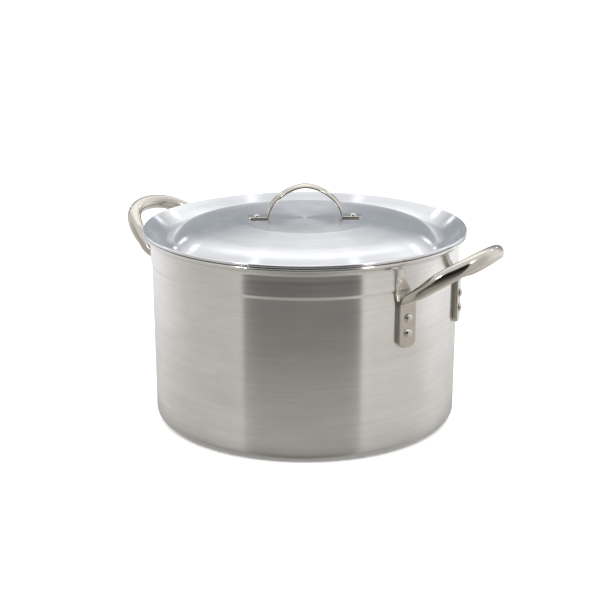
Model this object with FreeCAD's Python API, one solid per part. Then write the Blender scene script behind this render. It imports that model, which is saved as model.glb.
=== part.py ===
import FreeCAD, Part
import math
import os

# Lidded aluminium stock pot with two riveted tube handles and a riveted strap on the lid.
# Millimetres. Origin at the centre of the base's underside, +Z up, side handles on +X and -X.

V = FreeCAD.Vector
UP = V(0, 0, 1)
OUT = "parts"

# Pot body: one spun shell.
BASE_CORNER_R = 9.0
WALL_R_BASE = 145.2
WALL_R_TOP = 146.2
WALL_T = 3.0
BASE_T = 4.0
SHOULDER_Z = 151.1
SHOULDER_TALL = 3.6
SHOULDER_STEP = 1.0
# The widened mouth band above the shoulder: (radius, height) on its outer face.
BAND = [(147.2, 158.5), (147.3, 164.5), (147.8, 170.0), (149.2, 174.5), (153.1, 178.3)]

# Lid: one spun sheet, sunk inside the mouth, resting on the pot's rim.
LID_TOP_Z = 185.0
LID_T = 2.0
# Upper face from the edge inward: (radius, height below or above the lid's top edge).
LID_FACE = [
    (152.1, -0.5), (149.3, -2.9), (144.4, -7.4), (139.3, -11.0), (135.2, -12.6),
    (131.3, -12.8), (128.2, -11.2), (124.1, -7.5), (116.9, -2.7), (106.6, 0.4),
    (94.4, 2.4), (83.2, 4.0), (74.0, 5.1), (66.0, 6.0),
]
PLATEAU_R = 65.0
PLATEAU_RISE = 6.3
PLATEAU_BEVEL = 0.6

# Strap handle on the lid.
LID_TURN_DEG = 37.1
STRAP_W = 13.0
STRAP_T = 1.8
STRAP_CROWN = 2.2
STRAP_TIP_R = 2.6
FOOT_TIP_X = 54.0
FOOT_BEND_X = 35.0
ARCH_RISE = 31.1
ARCH_POWER = 1.15
ARCH_LEG_DEG = 66.0
CROWN_AT_FOOT = 0.1
CROWN_GROWTH = 6.0
LID_RIVET_X = 46.0
LID_RIVET_SHANK_R = 2.0
LID_RIVET_HEAD_R = 3.3
LID_RIVET_HEAD_H = 2.0
LID_RIVET_TAIL_R = 3.8
LID_RIVET_TAIL_H = 1.2

# Side handles: a bent tube with both ends flattened into riveted tabs.
TUBE_R = 7.1
LOOP_HALF_W = 49.0
LOOP_REACH = 54.6
LOOP_POWER = 2.17
LOOP_TILT_DEG = 34.3
LOOP_STEP = 0.0001
LOOP_START_X = 149.5
LOOP_START_Z = 151.5
BEND_PULL = 7.0
TAB_W = 19.5
TAB_T = 4.5
TAB_EDGE_R = 1.3
TAB_FLATNESS = 6.0
TAB_TOP_Z = 138.0
TAB_BOTTOM_Z = 100.5
TAB_CHAMFER = 4.5
TAB_SINK = 0.5
JOIN_DEPTH = 1.2
JOIN_SHRINK = 0.12
RIVET_SHANK_R = 2.5
RIVET_HEAD_R = 4.0
RIVET_HEAD_H = 2.7
RIVET_TAIL_R = 4.6
RIVET_TAIL_H = 1.4
RIVET_Z = {"lower": 114.0, "upper": 128.0}
# Straight part of every rivet tail, as a share of its height.
TAIL_SIDE_SHARE = 0.3
SECTION_POINTS = 28
# Tolerances for picking the edges to round: a distance, and cosines of an angle.
PICK_MARGIN = 0.1
PICK_ACROSS = 0.01
PICK_UPRIGHT = 0.9


def spline(points):
    curve = Part.BSplineCurve()
    curve.interpolate(points)
    return curve.toShape()


def line(a, b):
    return Part.makeLine(a, b)


def rz(radius, height):
    return V(radius, 0, height)


def offset_points(points, distance):
    """Points moved sideways from a run of profile points, to the left of its direction."""
    moved = []
    for i, p in enumerate(points):
        before = points[max(i - 1, 0)]
        after = points[min(i + 1, len(points) - 1)]
        along = (after - before).normalize()
        moved.append(p + V(-along.z, 0, along.x) * distance)
    return moved


def revolve(edges):
    face = Part.Face(Part.Wire(Part.__sortEdges__(edges)))
    return face.revolve(V(0, 0, 0), UP, 360)


def wall_radius(z):
    """Outer radius of the plain wall below the shoulder."""
    share = (z - BASE_CORNER_R) / (SHOULDER_Z - BASE_CORNER_R)
    return WALL_R_BASE + (WALL_R_TOP - WALL_R_BASE) * share


def rounded_end(outer, inner, along):
    """Half-round edge joining two profile ends."""
    middle = (outer + inner) * 0.5
    bulge = (outer - inner).Length * 0.5
    return Part.Arc(outer, middle + along * bulge, inner).toShape()


def corner_arc(centre_r, centre_z, radius):
    slant = radius * math.sqrt(0.5)
    start = rz(centre_r, centre_z - radius)
    end = rz(centre_r + radius, centre_z)
    return Part.Arc(start, rz(centre_r + slant, centre_z - slant), end).toShape()


def shoulder_points():
    """S-shaped step where the wall widens into the mouth band."""
    steps = 6
    points = []
    for i in range(steps + 1):
        t = i / steps
        blend = t * t * (3 - 2 * t)
        points.append(rz(WALL_R_TOP + SHOULDER_STEP * blend, SHOULDER_Z + SHOULDER_TALL * t))
    return points


def pot_shell():
    flat_r = WALL_R_BASE - BASE_CORNER_R
    inner_corner = BASE_CORNER_R - WALL_T
    outer_top = shoulder_points() + [rz(r, z) for r, z in BAND]
    inner_top = [p - rz(WALL_T, 0) for p in outer_top]
    inner_top[-1] = offset_points(outer_top, WALL_T)[-1]
    corner_z = BASE_T + inner_corner
    inner_low = rz(WALL_R_BASE - WALL_T, corner_z)
    end_dir = (outer_top[-1] - outer_top[-2]).normalize()
    edges = [
        line(rz(0, 0), rz(flat_r, 0)),
        corner_arc(flat_r, BASE_CORNER_R, BASE_CORNER_R),
        line(rz(WALL_R_BASE, BASE_CORNER_R), outer_top[0]),
        spline(outer_top),
        rounded_end(outer_top[-1], inner_top[-1], end_dir),
        spline(inner_top),
        line(inner_top[0], inner_low),
        corner_arc(flat_r, corner_z, inner_corner),
        line(rz(flat_r, BASE_T), rz(0, BASE_T)),
        line(rz(0, BASE_T), rz(0, 0)),
    ]
    return revolve(edges)


def lid_sheet():
    upper = [rz(r, LID_TOP_Z + h) for r, h in LID_FACE]
    lower = offset_points(upper, LID_T)
    top_z = LID_TOP_Z + PLATEAU_RISE
    edge_dir = (upper[0] - upper[1]).normalize()
    plateau_edge = rz(PLATEAU_R - PLATEAU_BEVEL, top_z)
    edges = [
        rounded_end(upper[0], lower[0], edge_dir),
        spline(upper),
        line(upper[-1], plateau_edge),
        line(plateau_edge, rz(0, top_z)),
        line(rz(0, top_z), rz(0, top_z - LID_T)),
        line(rz(0, top_z - LID_T), rz(plateau_edge.x, top_z - LID_T)),
        line(rz(plateau_edge.x, top_z - LID_T), lower[-1]),
        spline(lower),
    ]
    return revolve(edges)


def cap(base_r, base_z, height):
    """Spherical cap profile standing on a circle of radius base_r, height may be negative."""
    tall = abs(height)
    sphere_r = (base_r ** 2 + tall ** 2) / (2 * tall)
    half = math.asin(base_r / sphere_r) / 2
    middle_h = tall - sphere_r * (1 - math.cos(half))
    middle = rz(sphere_r * math.sin(half), base_z + math.copysign(middle_h, height))
    return Part.Arc(rz(base_r, base_z), middle, rz(0, base_z + height)).toShape()


def rivet(base, axis, shank_r, shank_len, head_r, head_h, tail_r, tail_h):
    """Domed head standing on base, shank running back along -axis to a low round tail."""
    tail_top = -shank_len
    tail_side = tail_h * TAIL_SIDE_SHARE
    edges = [
        line(rz(0, head_h), rz(0, tail_top - tail_h)),
        cap(tail_r, tail_top - tail_side, tail_side - tail_h),
        line(rz(tail_r, tail_top - tail_side), rz(tail_r, tail_top)),
        line(rz(tail_r, tail_top), rz(shank_r, tail_top)),
        line(rz(shank_r, tail_top), rz(shank_r, 0)),
        line(rz(shank_r, 0), rz(head_r, 0)),
        cap(head_r, 0, head_h),
    ]
    solid = revolve(edges)
    solid.Placement = FreeCAD.Placement(base, FreeCAD.Rotation(UP, axis))
    return solid


def section(centre, width_dir, thick_dir, half_w, half_t, power):
    """Closed oval across a tube; power 2 is an ellipse, a higher power is flatter sided."""
    points = []
    for i in range(SECTION_POINTS):
        a = 2 * math.pi * i / SECTION_POINTS
        c = math.cos(a)
        s = math.sin(a)
        u = half_w * math.copysign(abs(c) ** (2 / power), c)
        w = half_t * math.copysign(abs(s) ** (2 / power), s)
        points.append(centre + width_dir * u + thick_dir * w)
    curve = Part.BSplineCurve()
    curve.interpolate(points, PeriodicFlag=True)
    return Part.Wire(curve.toShape())


def loop_point(t):
    """Centre line of the tube loop, t from 0 at one leg to pi at the other."""
    reach = LOOP_REACH * abs(math.sin(t)) ** (2 / LOOP_POWER)
    across = math.copysign(abs(math.cos(t)) ** (2 / LOOP_POWER), math.cos(t))
    tilt = math.radians(LOOP_TILT_DEG)
    return V(LOOP_START_X + reach * math.cos(tilt), -LOOP_HALF_W * across,
             LOOP_START_Z + reach * math.sin(tilt))


def leg_direction():
    tilt = math.radians(LOOP_TILT_DEG)
    return V(math.cos(tilt), 0, math.sin(tilt))


def tab_angle():
    return math.asin(LOOP_HALF_W / (WALL_R_TOP + TAB_T))


def tab_frame(side):
    """Outward and sideways directions of the tab on side -1 or +1."""
    a = side * tab_angle()
    return V(math.cos(a), math.sin(a), 0), V(-math.sin(a), math.cos(a), 0)


def tab_face_radius():
    """Distance of the tab's outer face from the pot's axis."""
    return wall_radius(RIVET_Z["upper"]) - TAB_SINK + TAB_T


def tab():
    """Riveted plate of the leg on +Y, its face tangent to the wall."""
    outward, sideways = tab_frame(1)
    half = TAB_W / 2
    low = TAB_BOTTOM_Z
    outline = [
        (-half, TAB_TOP_Z), (-half, low + TAB_CHAMFER), (-half + TAB_CHAMFER, low),
        (half - TAB_CHAMFER, low), (half, low + TAB_CHAMFER), (half, TAB_TOP_Z),
    ]
    back = outward * (tab_face_radius() - TAB_T)
    points = [back + sideways * u + UP * z for u, z in outline]
    plate = Part.Face(Part.makePolygon(points + points[:1])).extrude(outward * TAB_T)
    rim = [e for e in plate.Edges if e.CenterOfMass.z < TAB_TOP_Z - PICK_MARGIN
           and abs(e.tangentAt(e.FirstParameter).dot(outward)) < PICK_ACROSS]
    return plate.makeFillet(TAB_EDGE_R, rim)


def shank():
    """Flattened end of the tube on +Y, bent from the tab out to the round leg."""
    outward, sideways = tab_frame(1)
    leg_dir = leg_direction()
    start = outward * (tab_face_radius() - TAB_T / 2) + UP * (TAB_TOP_Z - JOIN_DEPTH)
    leg = V(LOOP_START_X, LOOP_HALF_W, LOOP_START_Z) + leg_dir * JOIN_DEPTH
    a = start + UP * BEND_PULL
    b = leg - leg_dir * BEND_PULL
    steps = 10
    wires = []
    for i in range(steps + 1):
        t = i / steps
        m = 1 - t
        centre = start * m ** 3 + a * (3 * m * m * t) + b * (3 * m * t * t) + leg * t ** 3
        along = ((a - start) * (m * m) + (b - a) * (2 * m * t) + (leg - b) * (t * t)).normalize()
        wide = sideways * m + V(0, 1, 0) * t
        wide = (wide - along * wide.dot(along)).normalize()
        thick = wide.cross(along)
        grow = t * t * (3 - 2 * t)
        half_w = TAB_W / 2 + (TUBE_R - TAB_W / 2) * grow - JOIN_SHRINK
        half_t = TAB_T / 2 + (TUBE_R - TAB_T / 2) * grow - JOIN_SHRINK
        wires.append(section(centre, wide, thick, half_w, half_t, 2 + TAB_FLATNESS * m ** 3))
    return Part.makeLoft(wires, True, False)


def loop():
    count = 36
    tilt = math.radians(LOOP_TILT_DEG)
    upward = V(-math.sin(tilt), 0, math.cos(tilt))
    wires = []
    for i in range(count + 1):
        t = math.pi * i / count
        before = loop_point(max(t - LOOP_STEP, 0))
        after = loop_point(min(t + LOOP_STEP, math.pi))
        along = (after - before).normalize()
        wires.append(section(loop_point(t), along.cross(upward), upward, TUBE_R, TUBE_R, 2))
    return Part.makeLoft(wires, True, False)


def side_handle(pot):
    """Tube handle on +X, its tabs hollowed to lie on the pot's wall."""
    near = shank().multiFuse([tab()])
    far = near.mirror(V(0, 0, 0), V(0, 1, 0))
    whole = loop().multiFuse([near, far])
    return whole.cut(pot)


def handle_rivets():
    """The four rivets of the handle on +X, by name."""
    made = {}
    for side, side_name in ((-1, "a"), (1, "b")):
        outward = tab_frame(side)[0]
        for level, z in RIVET_Z.items():
            inner_r = wall_radius(z) - WALL_T
            tail_face = math.sqrt(inner_r ** 2 - RIVET_TAIL_R ** 2)
            shank_len = tab_face_radius() - tail_face
            base = outward * tab_face_radius() + UP * z
            made[side_name + "_" + level] = rivet(
                base, outward, RIVET_SHANK_R, shank_len,
                RIVET_HEAD_R, RIVET_HEAD_H, RIVET_TAIL_R, RIVET_TAIL_H)
    return made


def strap_section(centre, along, half_w, crown):
    """Cross-section of the strap: a thin band, crowned outward by the given height."""
    wide = V(0, 1, 0)
    out = along.cross(wide).normalize()
    top = []
    bottom = []
    for u in (-1, 0, 1):
        lift = crown * (1 - u * u)
        top.append(centre + wide * (half_w * u) + out * (lift + STRAP_T / 2))
        bottom.append(centre + wide * (half_w * u) + out * (lift - STRAP_T / 2))
    edges = [
        Part.Arc(top[0], top[1], top[2]).toShape(),
        line(top[2], bottom[2]),
        Part.Arc(bottom[2], bottom[1], bottom[0]).toShape(),
        line(bottom[0], top[0]),
    ]
    return Part.Wire(edges)


def strap_arch(foot_z):
    """Arch of the strap from one foot bend to the other, in the plane y = 0."""
    lean = math.radians(ARCH_LEG_DEG)
    bend_z = foot_z + STRAP_T / 2
    rise = ARCH_RISE - STRAP_T
    count = 24
    wires = []
    for i in range(count + 1):
        t = i / count
        c = -math.cos(math.pi * t)
        s = abs(math.sin(math.pi * t))
        centre = V(FOOT_BEND_X * math.copysign(abs(c) ** ARCH_POWER, c), 0, bend_z + rise * s ** ARCH_POWER)
        if i in (0, count):
            along = V(math.cos(lean), 0, -math.copysign(math.sin(lean), c))
        else:
            along = V(FOOT_BEND_X * abs(c) ** (ARCH_POWER - 1) * s, 0, -rise * s ** (ARCH_POWER - 1) * c)
        crown = STRAP_CROWN * min(1.0, CROWN_AT_FOOT + CROWN_GROWTH * min(t, 1 - t))
        wires.append(strap_section(centre, along.normalize(), STRAP_W / 2, crown))
    return Part.makeLoft(wires, True, False)


def strap_foot(side, foot_z):
    length = FOOT_TIP_X - FOOT_BEND_X + STRAP_T / 2
    corner = V(FOOT_BEND_X - STRAP_T / 2, -STRAP_W / 2, foot_z)
    plate = Part.makeBox(length, STRAP_W, STRAP_T, corner)
    tip = [e for e in plate.Edges if e.CenterOfMass.x > FOOT_TIP_X - PICK_MARGIN
           and abs(e.tangentAt(0).z) > PICK_UPRIGHT]
    plate = plate.makeFillet(STRAP_TIP_R, tip)
    if side < 0:
        plate = plate.mirror(V(0, 0, 0), V(1, 0, 0))
    return plate


def lid_strap(foot_z):
    feet = [strap_foot(side, foot_z) for side in (-1, 1)]
    return strap_arch(foot_z).multiFuse(feet).removeSplitter()


def turned(shape, degrees):
    copy = shape.copy()
    copy.rotate(V(0, 0, 0), UP, degrees)
    return copy


def single_solid(shape):
    solids = shape.Solids
    if len(solids) != 1:
        raise ValueError("expected one solid, found %d" % len(solids))
    return solids[0]


def build():
    shell = pot_shell()
    plain_handle = side_handle(shell)
    first = handle_rivets()

    nodes = {}
    for name, turn in (("right", 0), ("left", 180)):
        for key, solid in first.items():
            nodes["rivet_" + name + "_" + key] = turned(solid, turn)
    rivets = list(nodes.values())
    nodes["pot_body"] = shell.cut(rivets)
    own_rivets = list(first.values())
    bored = plain_handle.cut(own_rivets)
    nodes["side_handle_right"] = bored
    nodes["side_handle_left"] = turned(bored, 180)

    foot_z = LID_TOP_Z + PLATEAU_RISE
    strap = lid_strap(foot_z)
    lid_rivets = []
    for side, name in ((-1, "lid_rivet_a"), (1, "lid_rivet_b")):
        base = V(side * LID_RIVET_X, 0, foot_z + STRAP_T)
        solid = rivet(base, UP, LID_RIVET_SHANK_R, STRAP_T + LID_T,
                      LID_RIVET_HEAD_R, LID_RIVET_HEAD_H, LID_RIVET_TAIL_R, LID_RIVET_TAIL_H)
        nodes[name] = turned(solid, LID_TURN_DEG)
        lid_rivets.append(nodes[name])
    nodes["lid_handle"] = turned(strap, LID_TURN_DEG).cut(lid_rivets)
    nodes["lid_shell"] = lid_sheet().cut(lid_rivets)
    return nodes


os.makedirs(OUT, exist_ok=True)
for node, shape in build().items():
    single_solid(shape).exportStep(OUT + "/" + node + ".step")
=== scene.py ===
import math

import bpy
from mathutils import Matrix, Vector


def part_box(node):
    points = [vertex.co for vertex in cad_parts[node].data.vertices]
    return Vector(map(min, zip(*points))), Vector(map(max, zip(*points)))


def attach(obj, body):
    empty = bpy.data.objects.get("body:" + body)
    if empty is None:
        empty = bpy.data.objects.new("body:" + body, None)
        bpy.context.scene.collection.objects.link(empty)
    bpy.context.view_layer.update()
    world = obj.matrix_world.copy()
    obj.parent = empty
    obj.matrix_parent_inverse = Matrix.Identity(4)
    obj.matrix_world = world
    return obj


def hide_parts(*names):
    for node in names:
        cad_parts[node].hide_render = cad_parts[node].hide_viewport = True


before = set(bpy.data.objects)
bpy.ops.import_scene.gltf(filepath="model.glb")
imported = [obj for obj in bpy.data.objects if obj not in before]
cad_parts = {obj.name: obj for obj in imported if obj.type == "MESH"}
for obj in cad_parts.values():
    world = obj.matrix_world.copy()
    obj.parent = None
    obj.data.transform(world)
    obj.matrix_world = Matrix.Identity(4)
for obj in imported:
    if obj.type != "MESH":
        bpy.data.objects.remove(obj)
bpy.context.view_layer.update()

MM = 0.001
UP = Vector((0, 0, 1))
ROUND_SEGMENTS = 512         # facets round the pot and the lid
RIVET_SEGMENTS = 40

# ---------------------------------------------------------------- places read from the frame
POT_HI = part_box("pot_body")[1]
LID_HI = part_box("lid_shell")[1]
TAB_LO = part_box("side_handle_right")[0]

RIM_R = POT_HI.x
RIM_Z = POT_HI.z
LID_R = LID_HI.x
PLATEAU_Z = LID_HI.z
PLATEAU_RISE = 6.3 * MM
LID_TOP_Z = PLATEAU_Z - PLATEAU_RISE

# ---------------------------------------------------------------- shape of the pot body
WALL_T = 3.0 * MM
BASE_T = 4.0 * MM
CORNER_R = 9.0 * MM
WALL_IN_TOP = 7.35 * MM      # how far the wall just below the step stands inside the rim
WALL_TAPER = 1.0 * MM
SHOULDER_DROP = 29.76 * MM   # foot of the step, below the rim's top
SHOULDER_TALL = 3.6 * MM
SHOULDER_STEP = 1.0 * MM
WALL_R = RIM_R - WALL_IN_TOP
WALL_R_BASE = WALL_R - WALL_TAPER
SHOULDER_Z = RIM_Z - SHOULDER_DROP
# Outer face of the mouth band: (millimetres outside the wall, millimetres above the step's foot).
BAND = [(1.0, 3.6), (1.0, 7.4), (1.0, 13.4), (1.05, 18.9), (1.9, 23.6), (6.85, 27.2)]

# ---------------------------------------------------------------- shape of the lid
LID_T = 2.0 * MM
# Upper face from the edge inward: (millimetres inside the lid's edge, millimetres above its top edge).
LID_FACE = [
    (1.65, -0.5), (4.45, -2.9), (9.35, -7.4), (14.45, -11.0), (18.55, -12.6),
    (22.45, -12.8), (25.55, -11.2), (29.65, -7.5), (36.85, -2.7), (47.15, 0.4),
    (59.35, 2.4), (70.55, 4.0), (79.75, 5.1), (87.75, 6.0),
]
# Turned-down hem at the lid's edge, in the same measures.
HEM = [(0.5, -0.9), (0.06, -1.7), (0.08, -2.6), (0.6, -3.2), (1.35, -3.3)]
HEM_JOIN = 4                 # where the hem meets the run of the underside
PLATEAU_R = 64.4 * MM
CENTRE_PIP_R = 2.2 * MM
CENTRE_PIP_H = 0.25 * MM

# ---------------------------------------------------------------- shape of the handles
TUBE_R = 7.1 * MM
LOOP_HALF_W = 49.0 * MM
LOOP_REACH = 54.6 * MM
LOOP_POWER = 2.17
LOOP_TILT = math.radians(34.3)
LOOP_START_X = 149.5 * MM
LOOP_START_UP = 51.0 * MM    # height of the loop's start above the tab's bottom
TAB_W = 19.5 * MM
TAB_T = 4.5 * MM
TAB_TALL = 37.5 * MM
TAB_CHAMFER = 4.5 * MM
TAB_EDGE_ROUND = 1.0 * MM
TAB_CORNER_POWER = 9.0       # how square the tab's section is; 2 is an oval
TAB_FACE_R = 150.04 * MM
TAB_ANGLE = math.asin(LOOP_HALF_W / (150.7 * MM))
BEND_PULL = 7.0 * MM
# Lengths past the tab's top over which the flattened end turns back into the round tube.
NARROW_RUN = 38.0 * MM
SWELL_RUN_UP = 46.0 * MM
SWELL_RUN_DOWN = 26.0 * MM
ROUND_RUN = 30.0 * MM
TAB_BOTTOM_Z = TAB_LO.z
TAB_TOP_Z = TAB_BOTTOM_Z + TAB_TALL
LOOP_START_Z = TAB_BOTTOM_Z + LOOP_START_UP

# ---------------------------------------------------------------- shape of the strap on the lid
STRAP_W = 13.0 * MM
STRAP_T = 1.8 * MM
STRAP_CROWN = 2.2 * MM
FOOT_TIP = 54.0 * MM
FOOT_BEND = 35.0 * MM
ARCH_RISE = 31.1 * MM
ARCH_POWER = 1.15
STRAP_TURN = math.radians(37.1)
STRAP_TIP_ROUND = 2.6 * MM

# ---------------------------------------------------------------- shape of the rivets
# Head radius, head height, shank length, tail radius, tail height.
SIDE_RIVET = (4.0 * MM, 2.7 * MM, 6.9 * MM, 4.6 * MM, 1.4 * MM)
LID_RIVET = (3.3 * MM, 2.0 * MM, 3.8 * MM, 3.8 * MM, 1.2 * MM)
RIVET_LIP = 0.15 * MM        # upright edge at the foot of every head

# ---------------------------------------------------------------- camera and light
CAM_DISTANCE = 1.300
CAM_AZIMUTH = math.radians(33.6)
CAM_ELEVATION = math.radians(13.15)
CAM_PITCH = math.radians(3.20)
CAM_YAW = math.radians(-0.205)
CAM_LENS = 81.65
SENSOR = 36.0

# What the metal mirrors, as plain colours.
LEFT_GREY = (0.52, 0.515, 0.49)
LEFT_BRIGHT = (0.95, 0.95, 0.95)
RIGHT_GREY = (0.65, 0.63, 0.605)
RIGHT_BRIGHT = (1.0, 1.0, 1.0)
BACK_HORIZON = (0.38, 0.40, 0.43)
GAP_HIGH = (0.02, 0.018, 0.016)
GAP_LOW = (0.10, 0.097, 0.093)
TABLE = (0.53, 0.505, 0.47)
OVERHEAD_BACK = (1.38, 1.38, 1.39)
OVERHEAD_FRONT = (0.84, 0.845, 0.86)
SPOT = (4.0, 4.0, 4.1)
SPOT_OUTER = math.radians(2.6)
SPOT_INNER = math.radians(1.2)
# Bright spots behind the pot: (degrees from the camera's side round to the right, degrees up).
SPOTS = ((139.5, 32.5), (151.0, 20.0), (-139.5, 32.5), (-151.0, 20.0))
FLOOR_LIGHT = (2.2, 2.2, 2.2)
FLOOR_R = 8.0
FLOOR_Z = -0.5 * MM
TABLE_R = 0.75
TABLE_Z = -0.3 * MM
TABLE_FULL_R = 0.22          # where the table's glow is strongest; it fades to nothing at TABLE_R
TABLE_OPACITY = 0.75
LAMP_SIZE = 0.22
LAMP_POWER = 4.0
LAMP_PLACE = (1.1, -0.9, 1.5)    # right-hand lamp, seen from the camera


# ================================================================ mesh helpers
def catmull(points, steps):
    """Smooth run of points through the given ones."""
    run = []
    last = len(points) - 1
    for i in range(last):
        p0 = points[max(i - 1, 0)]
        p1 = points[i]
        p2 = points[i + 1]
        p3 = points[min(i + 2, last)]
        for k in range(steps):
            t = k / steps
            run.append(0.5 * (2 * p1 + (p2 - p0) * t + (2 * p0 - 5 * p1 + 4 * p2 - p3) * t * t
                              + (3 * p1 - p0 - 3 * p2 + p3) * t ** 3))
    run.append(points[-1])
    return run


def rz(radius, height):
    return Vector((radius, 0, height))


def offset_run(run, distance):
    """The run moved to the left of its direction in the half-plane y = 0."""
    moved = []
    for i, p in enumerate(run):
        along = (run[min(i + 1, len(run) - 1)] - run[max(i - 1, 0)]).normalized()
        moved.append(p + Vector((-along.z, 0, along.x)) * distance)
    return moved


def arc_run(centre, radius, start, end, steps):
    run = []
    for i in range(steps + 1):
        a = start + (end - start) * i / steps
        run.append(centre + Vector((math.cos(a), 0, math.sin(a))) * radius)
    return run


def half_round(outer, inner, steps):
    """Half circle from one profile end round to the other, bulging away from the sheet."""
    middle = (outer + inner) / 2
    out = (outer - inner) / 2
    ahead = Vector((out.z, 0, -out.x))
    run = []
    for i in range(1, steps):
        a = math.pi * i / steps
        run.append(middle + out * math.cos(a) - ahead * math.sin(a))
    return run


def new_mesh(name, verts, faces, uvs=None):
    mesh = bpy.data.meshes.new(name)
    mesh.from_pydata([tuple(v) for v in verts], [], faces)
    mesh.validate()
    mesh.update()
    if uvs:
        layer = mesh.uv_layers.new(name="run")
        for loop in mesh.loops:
            layer.data[loop.index].uv = uvs[loop.vertex_index]
    for polygon in mesh.polygons:
        polygon.use_smooth = True
    piece = bpy.data.objects.new(name, mesh)
    bpy.context.scene.collection.objects.link(piece)
    return piece


def revolved(name, run, segments):
    """Closed solid of revolution; the run starts and ends on the axis."""
    verts = [run[0], run[-1]]
    inner = run[1:-1]
    for s in range(segments):
        a = 2 * math.pi * s / segments
        c = math.cos(a)
        d = math.sin(a)
        verts += [Vector((p.x * c, p.x * d, p.z)) for p in inner]
    n = len(inner)
    faces = []
    for s in range(segments):
        here = 2 + s * n
        there = 2 + (s + 1) % segments * n
        faces.append((0, there, here))
        faces.append((1, here + n - 1, there + n - 1))
        for k in range(n - 1):
            faces.append((here + k, there + k, there + k + 1, here + k + 1))
    return new_mesh(name, verts, faces)


def swept(name, rings):
    """Solid skin through rings of equal point count, closed at both ends."""
    verts = []
    uvs = []
    count = len(rings[0])
    length = 0.0
    last_middle = None
    for ring in rings:
        middle = sum(ring, Vector()) / count
        if last_middle is not None:
            length += (middle - last_middle).length
        last_middle = middle
        verts += ring
        uvs += [(i / count, length) for i in range(count)]
    faces = []
    for r in range(len(rings) - 1):
        for i in range(count):
            j = (i + 1) % count
            faces.append((r * count + i, r * count + j, (r + 1) * count + j, (r + 1) * count + i))
    faces.append(tuple(range(count - 1, -1, -1)))
    top = (len(rings) - 1) * count
    faces.append(tuple(top + i for i in range(count)))
    return new_mesh(name, verts, faces, uvs)


def placed(piece, body, slot, material, *nodes):
    """Puts a piece on its body, in place of its CAD nodes, with its material."""
    piece.data.materials.append(material)
    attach(piece, body)
    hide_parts(*nodes)
    return piece


# ================================================================ node helpers
class Nodes:
    """Short calls for building a node tree."""

    def __init__(self, tree):
        self.tree = tree
        self.tree.nodes.clear()

    def add(self, kind, **settings):
        node = self.tree.nodes.new(kind)
        for key, value in settings.items():
            setattr(node, key, value)
        return node

    def link(self, out, into):
        self.tree.links.new(out, into)

    def math(self, operation, a, b=0.0, c=0.0, clamp=False):
        node = self.add("ShaderNodeMath", operation=operation, use_clamp=clamp)
        for socket, value in zip(node.inputs, (a, b, c)):
            if isinstance(value, (int, float)):
                socket.default_value = value
            else:
                self.link(value, socket)
        return node.outputs[0]

    def remap(self, value, low, high, out_low, out_high, smooth=True):
        node = self.add("ShaderNodeMapRange")
        node.interpolation_type = "SMOOTHSTEP" if smooth else "LINEAR"
        self.link(value, node.inputs["Value"])
        limits = {"From Min": low, "From Max": high, "To Min": out_low, "To Max": out_high}
        for key, number in limits.items():
            node.inputs[key].default_value = number
        return node.outputs["Result"]

    def mix(self, factor, a, b, blend="MIX"):
        node = self.add("ShaderNodeMix", data_type="RGBA", blend_type=blend)
        for socket, value in ((node.inputs["Factor"], factor), (node.inputs[6], a), (node.inputs[7], b)):
            if isinstance(value, (int, float)):
                socket.default_value = value
            elif isinstance(value, tuple):
                socket.default_value = (*value, 1.0)
            else:
                self.link(value, socket)
        return node.outputs[2]

    def noise(self, vector, scale, detail=2.0, roughness=0.5, dimensions="3D"):
        node = self.add("ShaderNodeTexNoise", noise_dimensions=dimensions)
        node.inputs["Scale"].default_value = scale
        node.inputs["Detail"].default_value = detail
        node.inputs["Roughness"].default_value = roughness
        self.link(vector, node.inputs["Vector"])
        return node.outputs["Fac"]

    def vector(self, x, y, z):
        node = self.add("ShaderNodeCombineXYZ")
        for socket, value in zip(node.inputs, (x, y, z)):
            if isinstance(value, (int, float)):
                socket.default_value = value
            else:
                self.link(value, socket)
        return node.outputs[0]

    def split(self, vector):
        node = self.add("ShaderNodeSeparateXYZ")
        self.link(vector, node.inputs[0])
        return node.outputs[0], node.outputs[1], node.outputs[2]

    def radius(self, place):
        """Distance from the upright axis."""
        x, y, _ = self.split(place)
        squares = self.math("ADD", self.math("MULTIPLY", x, x), self.math("MULTIPLY", y, y))
        return self.math("SQRT", squares)


def new_material(name):
    material = bpy.data.materials.new(name)
    material.use_nodes = True
    kit = Nodes(material.node_tree)
    shader = kit.add("ShaderNodeBsdfPrincipled")
    output = kit.add("ShaderNodeOutputMaterial")
    kit.link(shader.outputs[0], output.inputs["Surface"])
    return material, kit, shader


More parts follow.
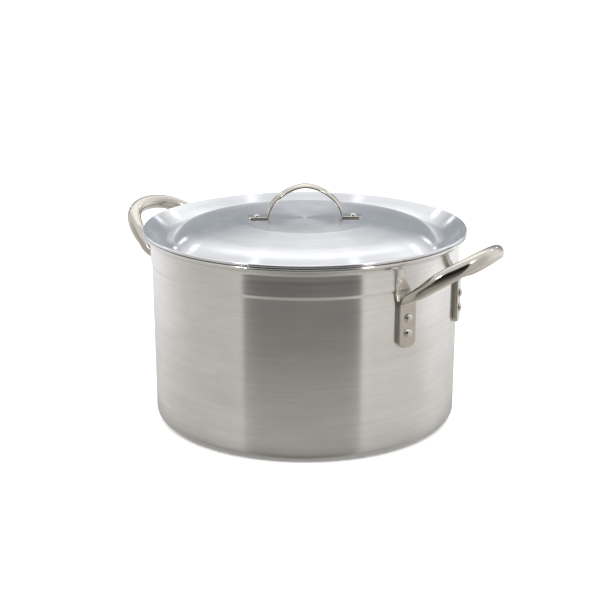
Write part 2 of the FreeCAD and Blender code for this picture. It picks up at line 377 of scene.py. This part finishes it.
def spun_aluminium(name, tint, line_depth, rough):
    """Aluminium turned on a lathe: fine lines round the axis that stretch every reflection across them."""
    material, kit, shader = new_material(name)
    place = kit.add("ShaderNodeTexCoord").outputs["Object"]
    x, y, z = kit.split(place)
    radius = kit.radius(place)
    turn = kit.math("ARCTAN2", y, x)
    ring = kit.vector(radius, z, kit.math("MULTIPLY", turn, 0.004))
    lathe = kit.noise(ring, 520.0, 3.0, 0.55)
    broad = kit.noise(kit.vector(radius, z, kit.math("MULTIPLY", turn, 0.010)), 90.0, 3.0, 0.6)
    # Dull clouds and handling marks, which don't follow the lines.
    cloud = kit.noise(place, 14.0, 4.0, 0.6)
    smear = kit.noise(kit.vector(radius, z, kit.math("MULTIPLY", turn, 0.05)), 34.0, 4.0, 0.65)

    shade = kit.math("MULTIPLY_ADD", broad, 0.10, 0.90)
    shade = kit.math("MULTIPLY", shade, kit.remap(lathe, 0.25, 0.75, 0.965, 1.02))
    shade = kit.math("MULTIPLY", shade, kit.remap(cloud, 0.30, 0.70, 0.96, 1.03))
    shade = kit.math("MULTIPLY", shade, kit.remap(smear, 0.25, 0.75, 0.95, 1.04))
    colour = kit.mix(shade, (0.0, 0.0, 0.0), tint)
    kit.link(colour, shader.inputs["Base Color"])

    roughness = kit.math("MULTIPLY_ADD", kit.math("SUBTRACT", lathe, 0.5), 0.03, rough)
    roughness = kit.math("ADD", roughness, kit.remap(cloud, 0.35, 0.75, -0.01, 0.02))
    kit.link(roughness, shader.inputs["Roughness"])

    bump = kit.add("ShaderNodeBump")
    bump.inputs["Strength"].default_value = 1.0
    bump.inputs["Distance"].default_value = line_depth
    kit.link(lathe, bump.inputs["Height"])
    kit.link(bump.outputs[0], shader.inputs["Normal"])

    tangent = kit.add("ShaderNodeTangent", direction_type="RADIAL", axis="Z")
    kit.link(tangent.outputs[0], shader.inputs["Tangent"])
    shader.inputs["Metallic"].default_value = 1.0
    shader.inputs["Anisotropic"].default_value = 1.0
    shader.inputs["Anisotropic Rotation"].default_value = 0.25
    return material


def polished_steel(name, tint, rough):
    """Buffed stainless steel: a mirror with faint lines along the bar and a few dull patches."""
    material, kit, shader = new_material(name)
    coords = kit.add("ShaderNodeTexCoord")
    place = coords.outputs["Object"]
    u, v, _ = kit.split(coords.outputs["UV"])
    along = kit.vector(kit.math("MULTIPLY", u, 0.30), kit.math("MULTIPLY", v, 0.4), 0.0)
    buff = kit.noise(along, 420.0, 3.0, 0.6)
    patch = kit.noise(place, 60.0, 4.0, 0.6)
    wave = kit.noise(place, 34.0, 2.0, 0.5)
    patch_shade = kit.remap(patch, 0.3, 0.7, 0.93, 1.0)
    shade = kit.math("MULTIPLY", patch_shade, kit.remap(buff, 0.3, 0.7, 0.97, 1.0))
    colour = kit.mix(shade, (0.0, 0.0, 0.0), tint)
    kit.link(colour, shader.inputs["Base Color"])
    roughness = kit.math("ADD", kit.remap(patch, 0.35, 0.75, rough * 0.8, rough * 1.6),
                         kit.math("MULTIPLY", buff, 0.05))
    kit.link(roughness, shader.inputs["Roughness"])
    height = kit.math("ADD", kit.math("MULTIPLY", buff, 0.03), kit.math("MULTIPLY", wave, 1.0))
    bump = kit.add("ShaderNodeBump")
    bump.inputs["Strength"].default_value = 0.35
    bump.inputs["Distance"].default_value = 0.0006
    kit.link(height, bump.inputs["Height"])
    kit.link(bump.outputs[0], shader.inputs["Normal"])
    shader.inputs["Metallic"].default_value = 1.0
    return material


# ================================================================ pieces
def pot_run():
    """Profile of the pot body from the base's middle, up the outside and back down the inside."""
    flat_r = WALL_R_BASE - CORNER_R
    outer = [rz(0, 0), rz(flat_r * 0.5, 0), rz(flat_r - 2 * MM, 0)]
    outer += arc_run(rz(flat_r, CORNER_R), CORNER_R, -math.pi / 2, 0, 14)
    low = outer[-1]
    high = rz(WALL_R, SHOULDER_Z)
    outer += [low.lerp(high, k / 12) for k in range(1, 12)]
    step = []
    for i in range(13):
        t = i / 12
        blend = t * t * (3 - 2 * t)
        step.append(rz(WALL_R + SHOULDER_STEP * blend, SHOULDER_Z + SHOULDER_TALL * t))
    band = [rz(WALL_R + out * MM, SHOULDER_Z + up * MM) for out, up in BAND]
    mouth = step + catmull(band, 8)[1:]
    inside = [p - rz(WALL_T, 0) for p in mouth]
    inside[-1] = offset_run(mouth, WALL_T)[-1]
    edge = half_round(mouth[-1], inside[-1], 12)
    inner_corner = CORNER_R - WALL_T
    corner = arc_run(rz(flat_r, BASE_T + inner_corner), inner_corner, 0, -math.pi / 2, 10)
    down = [inside[0].lerp(corner[0], k / 12) for k in range(1, 12)]
    floor = [rz(flat_r * 0.9, BASE_T), rz(flat_r * 0.5, BASE_T), rz(0, BASE_T)]
    return outer + mouth + edge + inside[::-1] + down + corner + floor


def lid_run():
    """Profile of the lid from the middle of its underside, out to the edge and back over the top."""
    upper = [rz(LID_R - inward * MM, LID_TOP_Z + up * MM) for inward, up in LID_FACE]
    upper = catmull(upper, 7)
    lower = offset_run(upper, LID_T)
    lower = lower[HEM_JOIN:]
    hem = [upper[0]] + [rz(LID_R - inward * MM, LID_TOP_Z + up * MM) for inward, up in HEM] + [lower[0]]
    edge = catmull(hem, 5)[1:-1]
    plateau = rz(PLATEAU_R, PLATEAU_Z)
    under = rz(PLATEAU_R, PLATEAU_Z - LID_T)
    top = [plateau, plateau - rz(0.8 * MM, 0)]
    top += [rz(PLATEAU_R * k, PLATEAU_Z) for k in (0.8, 0.6, 0.4, 0.2, 0.08)]
    pip = []
    for i in range(9):
        share = 1 - i / 8
        rise = -CENTRE_PIP_H * (0.5 + 0.5 * math.cos(math.pi * share))
        pip.append(rz(CENTRE_PIP_R * share, PLATEAU_Z + rise))
    below = [rz(0, under.z), rz(PLATEAU_R * 0.5, under.z), under - rz(0.8 * MM, 0), under]
    return below + lower[::-1] + edge[::-1] + upper + top + pip


def rounded_section(half_w, half_up, half_down, round_share):
    """Points (across, up) of a flattened tube: a slab with rounded sides that turns into an oval."""
    points = []
    count = 48
    for i in range(count):
        a = 2 * math.pi * i / count
        c = math.cos(a)
        s = math.sin(a)
        tall = half_up if s >= 0 else half_down
        power = TAB_CORNER_POWER * (1 - round_share) + 2.0 * round_share
        u = half_w * math.copysign(abs(c) ** (2 / power), c)
        w = tall * math.copysign(abs(s) ** (2 / power), s)
        points.append((u, w))
    return points


def smooth(t):
    t = min(max(t, 0.0), 1.0)
    return t * t * (3 - 2 * t)


def loop_point(t):
    reach = LOOP_REACH * abs(math.sin(t)) ** (2 / LOOP_POWER)
    across = math.copysign(abs(math.cos(t)) ** (2 / LOOP_POWER), math.cos(t))
    return Vector((LOOP_START_X + reach * math.cos(LOOP_TILT), LOOP_HALF_W * across,
                   LOOP_START_Z + reach * math.sin(LOOP_TILT)))


def handle_path():
    """Centre line of the +Y half, tab's bottom to loop's crown: (point, direction, width direction)."""
    outward = Vector((math.cos(TAB_ANGLE), math.sin(TAB_ANGLE), 0))
    sideways = Vector((-math.sin(TAB_ANGLE), math.cos(TAB_ANGLE), 0))
    across = Vector((0, 1, 0))
    leg_dir = Vector((math.cos(LOOP_TILT), 0, math.sin(LOOP_TILT)))
    upward = Vector((-math.sin(LOOP_TILT), 0, math.cos(LOOP_TILT)))
    middle = outward * (TAB_FACE_R - TAB_T / 2)
    stations = []
    for k in range(31):
        z = TAB_BOTTOM_Z + TAB_TALL * smooth(k / 30) ** 0.9
        stations.append((middle + UP * z, UP, sideways))
    start = middle + UP * TAB_TOP_Z
    leg = Vector((LOOP_START_X, LOOP_HALF_W, LOOP_START_Z))
    a = start + UP * BEND_PULL
    b = leg - leg_dir * BEND_PULL
    for i in range(1, 24):
        t = i / 24
        m = 1 - t
        point = start * m ** 3 + a * (3 * m * m * t) + b * (3 * m * t * t) + leg * t ** 3
        along = ((a - start) * (m * m) + (b - a) * (2 * m * t) + (leg - b) * (t * t)).normalized()
        wide = sideways * m + across * t
        wide = (wide - along * wide.dot(along)).normalized()
        stations.append((point, along, wide))
    count = 72
    for i in range(count + 1):
        t = math.pi / 2 * i / count
        along = (loop_point(t + 0.0005) - loop_point(max(t - 0.0005, 0))).normalized()
        stations.append((loop_point(t), along, upward.cross(along)))
    return stations


def half_handle():
    rings = []
    travelled = 0.0
    last = None
    for point, along, wide in handle_path():
        if last is not None and point.z > TAB_TOP_Z:
            travelled += (point - last).length
        last = point
        half_w = TAB_W / 2 + (TUBE_R - TAB_W / 2) * smooth(travelled / NARROW_RUN)
        half_up = TAB_T / 2 + (TUBE_R - TAB_T / 2) * smooth(travelled / SWELL_RUN_UP)
        half_down = TAB_T / 2 + (TUBE_R - TAB_T / 2) * smooth(travelled / SWELL_RUN_DOWN)
        from_bottom = point.z - TAB_BOTTOM_Z
        if from_bottom < TAB_CHAMFER:
            half_w -= TAB_CHAMFER - from_bottom
        if from_bottom < TAB_EDGE_ROUND:
            past = TAB_EDGE_ROUND - from_bottom
            shrink = TAB_EDGE_ROUND - math.sqrt(max(TAB_EDGE_ROUND ** 2 - past ** 2, 0))
            half_w -= shrink
            half_up -= shrink
            half_down -= shrink
        thick = wide.cross(along)
        round_share = smooth(travelled / ROUND_RUN)
        ring = []
        for u, w in rounded_section(half_w, half_up, half_down, round_share):
            ring.append(point + wide * u - thick * w)
        rings.append(ring)
    return rings


def side_handle(name, turn, node, material):
    near = half_handle()
    far = [[Vector((p.x, -p.y, p.z)) for p in ring] for ring in near[:-1]]
    rings = near + far[::-1]
    spin = Matrix.Rotation(turn, 3, "Z")
    rings = [[spin @ p for p in ring] for ring in rings]
    return placed(swept(name, rings), "pot", "polished_steel", material, node)


def rivet_run(head_r, head_h, shank_len, tail_r, tail_h):
    """Rivet along +Z, head's seat at 0: domed head above, shank and rounded tail below."""
    run = [rz(0, -shank_len - tail_h)]
    for i in range(1, 9):
        a = math.pi / 2 * i / 8
        run.append(rz(tail_r * math.sin(a), -shank_len - tail_h * 0.3 - tail_h * 0.7 * math.cos(a)))
    run.append(rz(tail_r, -shank_len))
    run.append(rz(tail_r * 0.6, -shank_len))
    run.append(rz(tail_r * 0.6, 0))
    run.append(rz(head_r * 0.98, 0.0))
    run.append(rz(head_r, RIVET_LIP))
    steps = 12
    for i in range(1, steps):
        a = math.pi / 2 * i / steps
        run.append(rz(head_r * math.cos(a) ** 0.9, RIVET_LIP + (head_h - RIVET_LIP) * math.sin(a)))
    run.append(rz(0, head_h))
    return run


def rivet_piece(name, run, base, axis, body, node, material):
    piece = revolved(name, run, RIVET_SEGMENTS)
    turn = UP.rotation_difference(axis).to_matrix().to_4x4()
    piece.data.transform(Matrix.Translation(base) @ turn)
    return placed(piece, body, "rivet_aluminium", material, node)


def strap_rings():
    """Rings of the lid strap from tip to tip in its own plane, a thin crowned band."""
    foot_z = PLATEAU_Z + STRAP_T / 2
    path = []
    for k in range(15):
        share = k / 14
        x = -FOOT_TIP + (FOOT_TIP - FOOT_BEND) * share
        near_tip = x + FOOT_TIP
        narrow = 0.0
        if near_tip < STRAP_TIP_ROUND:
            past = STRAP_TIP_ROUND - near_tip
            narrow = STRAP_TIP_ROUND - math.sqrt(max(STRAP_TIP_ROUND ** 2 - past ** 2, 0))
        path.append((Vector((x, 0, foot_z)), Vector((1, 0, 0)), 0.0, narrow))
    arch = []
    count = 60
    for i in range(count + 1):
        a = math.pi - math.pi * i / count
        x = FOOT_BEND * math.copysign(abs(math.cos(a)) ** ARCH_POWER, math.cos(a))
        z = foot_z + (ARCH_RISE - STRAP_T) * abs(math.sin(a)) ** ARCH_POWER
        arch.append(Vector((x, 0, z)))
    for i, p in enumerate(arch):
        along = (arch[min(i + 1, count)] - arch[max(i - 1, 0)]).normalized()
        if i in (0, count):
            along = Vector((0.8, 0, 0.6 if i == 0 else -0.6)).normalized()
        crown = STRAP_CROWN * smooth(min(i, count - i) / 9)
        path.append((p, along, crown, 0.0))
    path += [(Vector((-p.x, 0, p.z)), d, c, n) for p, d, c, n in path[14::-1]]
    rings = []
    for point, along, crown, narrow in path:
        out = along.cross(Vector((0, 1, 0))).normalized()
        half = STRAP_W / 2 - narrow
        edge = STRAP_T / 2
        ring = []
        steps = 16
        for i in range(steps + 1):
            u = -1 + 2 * i / steps
            lift = crown * (1 - u * u)
            ring.append(point + Vector((0, 1, 0)) * ((half - edge * 0.6) * u) + out * (lift + edge))
        ring.append(point + Vector((0, 1, 0)) * (half - edge * 0.1) + out * edge * 0.6)
        ring.append(point + Vector((0, 1, 0)) * half)
        ring.append(point + Vector((0, 1, 0)) * (half - edge * 0.1) - out * edge * 0.6)
        for i in range(steps + 1):
            u = 1 - 2 * i / steps
            lift = crown * (1 - u * u)
            ring.append(point + Vector((0, 1, 0)) * ((half - edge * 0.6) * u) + out * (lift - edge))
        ring.append(point - Vector((0, 1, 0)) * (half - edge * 0.1) - out * edge * 0.6)
        ring.append(point - Vector((0, 1, 0)) * half)
        ring.append(point - Vector((0, 1, 0)) * (half - edge * 0.1) + out * edge * 0.6)
        rings.append(ring)
    spin = Matrix.Rotation(STRAP_TURN, 3, "Z")
    return [[spin @ p for p in ring] for ring in rings]


def build_pieces():
    wall = spun_aluminium("spun_wall", (0.93, 0.925, 0.91), 0.006 * MM, 0.20)
    cover = spun_aluminium("spun_lid", (0.92, 0.93, 0.95), 0.006 * MM, 0.21)
    steel = polished_steel("buffed_steel", (0.70, 0.66, 0.60), 0.09)
    rivet = polished_steel("rivet_metal", (0.80, 0.775, 0.74), 0.13)

    placed(revolved("spun_pot", pot_run(), ROUND_SEGMENTS), "pot", "spun_aluminium", wall, "pot_body")
    placed(revolved("spun_cover", lid_run(), ROUND_SEGMENTS), "lid", "spun_aluminium", cover, "lid_shell")
    side_handle("tube_handle_right", 0.0, "side_handle_right", steel)
    side_handle("tube_handle_left", math.pi, "side_handle_left", steel)
    placed(swept("lid_strap", strap_rings()), "lid", "polished_steel", steel, "lid_handle")

    for name, turn in (("right", 0.0), ("left", math.pi)):
        for side, sign in (("a", -1), ("b", 1)):
            angle = turn + sign * TAB_ANGLE
            axis = Vector((math.cos(angle), math.sin(angle), 0))
            for level in ("lower", "upper"):
                node = "rivet_" + name + "_" + side + "_" + level
                lo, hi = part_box(node)
                base = axis * TAB_FACE_R + UP * ((lo.z + hi.z) / 2)
                run = rivet_run(*SIDE_RIVET)
                rivet_piece("rivet_head_" + name + side + level, run, base, axis, "pot", node, rivet)
    for node in ("lid_rivet_a", "lid_rivet_b"):
        lo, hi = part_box(node)
        base = Vector(((lo.x + hi.x) / 2, (lo.y + hi.y) / 2, PLATEAU_Z + STRAP_T))
        run = rivet_run(*LID_RIVET)
        rivet_piece(node + "_head", run, base, UP, "lid", node, rivet)


# ================================================================ studio
def make_camera():
    data = bpy.data.cameras.new("camera")
    data.sensor_width = SENSOR
    data.lens = CAM_LENS
    data.clip_start = 0.01
    data.clip_end = 50.0
    camera = bpy.data.objects.new("camera", data)
    bpy.context.scene.collection.objects.link(camera)
    bpy.context.scene.camera = camera
    e = CAM_ELEVATION
    back = Vector((0, -math.cos(e), math.sin(e)))
    down = e + CAM_PITCH
    level = math.cos(CAM_YAW)
    ahead = Vector((math.sin(CAM_YAW), level * math.cos(down), -level * math.sin(down)))
    right = ahead.cross(UP).normalized()
    above = right.cross(ahead)
    turn = Matrix.Rotation(CAM_AZIMUTH, 3, "Z")
    axes = Matrix((turn @ right, turn @ above, turn @ -ahead)).transposed().to_4x4()
    target = Vector((0, 0, LID_TOP_Z))
    camera.matrix_world = Matrix.Translation(target + turn @ back * CAM_DISTANCE) @ axes


def disc(name, radius, z, material):
    count = 96
    turns = [2 * math.pi * i / count for i in range(count)]
    verts = [Vector((radius * math.cos(a), radius * math.sin(a), z)) for a in turns]
    piece = new_mesh(name, verts, [tuple(range(count))])
    piece.data.materials.append(material)
    return piece


def paper_material():
    material, kit, shader = new_material("pale_floor")
    place = kit.add("ShaderNodeTexCoord").outputs["Object"]
    grain = kit.noise(place, 900.0, 2.0, 0.5)
    tone = kit.remap(grain, 0.3, 0.7, 0.0, 1.0)
    kit.link(kit.mix(tone, (0.90, 0.90, 0.90), (0.92, 0.92, 0.92)), shader.inputs["Base Color"])
    shader.inputs["Roughness"].default_value = 1.0
    shader.inputs["Specular IOR Level"].default_value = 0.0
    return material


def table_material():
    """Glow of the pale table round the pot, as the metal mirrors it: darker close in as a painted shadow
    of the pot, fading far out.
    """
    material = bpy.data.materials.new("table_glow")
    material.use_nodes = True
    kit = Nodes(material.node_tree)
    place = kit.add("ShaderNodeTexCoord").outputs["Object"]
    radius = kit.radius(place)
    # Painted shadow of the pot: the glow is darkened in a ring close round the pot's base.
    near = kit.remap(radius, 0.146, 0.185, 0.45, 1.0)
    opacity = kit.remap(radius, TABLE_FULL_R, TABLE_R, TABLE_OPACITY, 0.0, smooth=False)
    glow = kit.add("ShaderNodeEmission")
    kit.link(kit.mix(near, (0.0, 0.0, 0.0), TABLE), glow.inputs["Color"])
    clear = kit.add("ShaderNodeBsdfTransparent")
    blend = kit.add("ShaderNodeMixShader")
    kit.link(opacity, blend.inputs[0])
    kit.link(clear.outputs[0], blend.inputs[1])
    kit.link(glow.outputs[0], blend.inputs[2])
    output = kit.add("ShaderNodeOutputMaterial")
    kit.link(blend.outputs[0], output.inputs["Surface"])
    return material


def make_floor():
    floor = disc("floor", FLOOR_R, FLOOR_Z, paper_material())
    floor.visible_glossy = False
    table = disc("table", TABLE_R, TABLE_Z, table_material())
    table.visible_camera = False
    table.visible_diffuse = False
    table.visible_transmission = False
    table.visible_shadow = False


def make_world():
    """Soft studio as the metal sees it: grey cloths left and right, a dark gap ahead, brightness above."""
    world = bpy.data.worlds.new("studio")
    bpy.context.scene.world = world
    world.use_nodes = True
    kit = Nodes(world.node_tree)
    place = kit.add("ShaderNodeTexCoord").outputs["Generated"]
    mapping = kit.add("ShaderNodeMapping", vector_type="POINT")
    mapping.inputs["Rotation"].default_value = (0, 0, -CAM_AZIMUTH)
    kit.link(place, mapping.inputs["Vector"])
    x, y, z = kit.split(mapping.outputs[0])
    azimuth = kit.math("MULTIPLY", kit.math("ARCTAN2", x, kit.math("MULTIPLY", y, -1.0)), 180 / math.pi)
    elevation = kit.math("MULTIPLY", kit.math("ARCSINE", z), 180 / math.pi)

    def band(value, low, high, soft_low, soft_high):
        rise = kit.remap(value, low - soft_low, low + soft_low, 0, 1)
        fall = kit.remap(value, high - soft_high, high + soft_high, 1, 0)
        return kit.math("MULTIPLY", rise, fall)

    left = kit.mix(kit.remap(azimuth, -150, -78, 0, 1), LEFT_BRIGHT, LEFT_GREY)
    right = kit.mix(kit.remap(azimuth, 80, 115, 0, 1), RIGHT_GREY, RIGHT_BRIGHT)
    ring = kit.mix(kit.remap(azimuth, -1, 1, 0, 1), left, right)
    from_front = kit.math("ABSOLUTE", azimuth)
    back = kit.math("MULTIPLY", kit.remap(from_front, 125, 150, 0, 1), band(elevation, -5, 27, 3, 9))
    ring = kit.mix(back, ring, BACK_HORIZON)
    far_back = kit.math("MULTIPLY", kit.remap(y, 0.0, 0.35, 0, 1), kit.remap(from_front, 118, 152, 0, 1))
    overhead = kit.mix(far_back, OVERHEAD_FRONT, OVERHEAD_BACK)
    sky = kit.mix(kit.remap(elevation, 33, 50, 0, 1), ring, overhead)
    gap = kit.mix(kit.remap(elevation, 2, 10, 0, 1), GAP_LOW, GAP_HIGH)
    gap_top = kit.remap(elevation, 45, 60, 1, 0)
    sky = kit.mix(kit.math("MULTIPLY", band(azimuth, -45.5, 41.7, 1.5, 1.5), gap_top), sky, gap)

    for turn, up in SPOTS:
        t = math.radians(turn)
        e = math.radians(up)
        near = kit.add("ShaderNodeVectorMath", operation="DOT_PRODUCT")
        kit.link(mapping.outputs[0], near.inputs[0])
        near.inputs[1].default_value = (math.sin(t) * math.cos(e), -math.cos(t) * math.cos(e), math.sin(e))
        glow = kit.remap(near.outputs["Value"], math.cos(SPOT_OUTER), math.cos(SPOT_INNER), 0, 1)
        sky = kit.mix(glow, sky, SPOT)

    rays = kit.add("ShaderNodeLightPath")
    seen = kit.mix(rays.outputs["Is Diffuse Ray"], sky, FLOOR_LIGHT)
    seen = kit.mix(rays.outputs["Is Camera Ray"], seen, (1.0, 1.0, 1.0))
    background = kit.add("ShaderNodeBackground")
    kit.link(seen, background.inputs["Color"])
    background.inputs["Strength"].default_value = 1.0
    output = kit.add("ShaderNodeOutputWorld")
    kit.link(background.outputs[0], output.inputs["Surface"])


def make_lights():
    """Two small lamps that leave bright spots on the handles and short streaks on the lid."""
    for name, side in (("lamp_left", -1), ("lamp_right", 1)):
        data = bpy.data.lights.new(name, "AREA")
        data.shape = "DISK"
        data.size = LAMP_SIZE
        data.energy = LAMP_POWER
        lamp = bpy.data.objects.new(name, data)
        place = Vector((side * LAMP_PLACE[0], LAMP_PLACE[1], LAMP_PLACE[2]))
        place.rotate(Matrix.Rotation(CAM_AZIMUTH, 3, "Z"))
        lamp.location = place
        lamp.rotation_euler = (-place).to_track_quat("-Z", "Y").to_euler()
        lamp.visible_camera = False
        bpy.context.scene.collection.objects.link(lamp)


def set_colour():
    scene = bpy.context.scene
    scene.view_settings.view_transform = "Standard"
    scene.view_settings.look = "None"


build_pieces()
make_camera()
make_floor()
make_world()
make_lights()
set_colour()
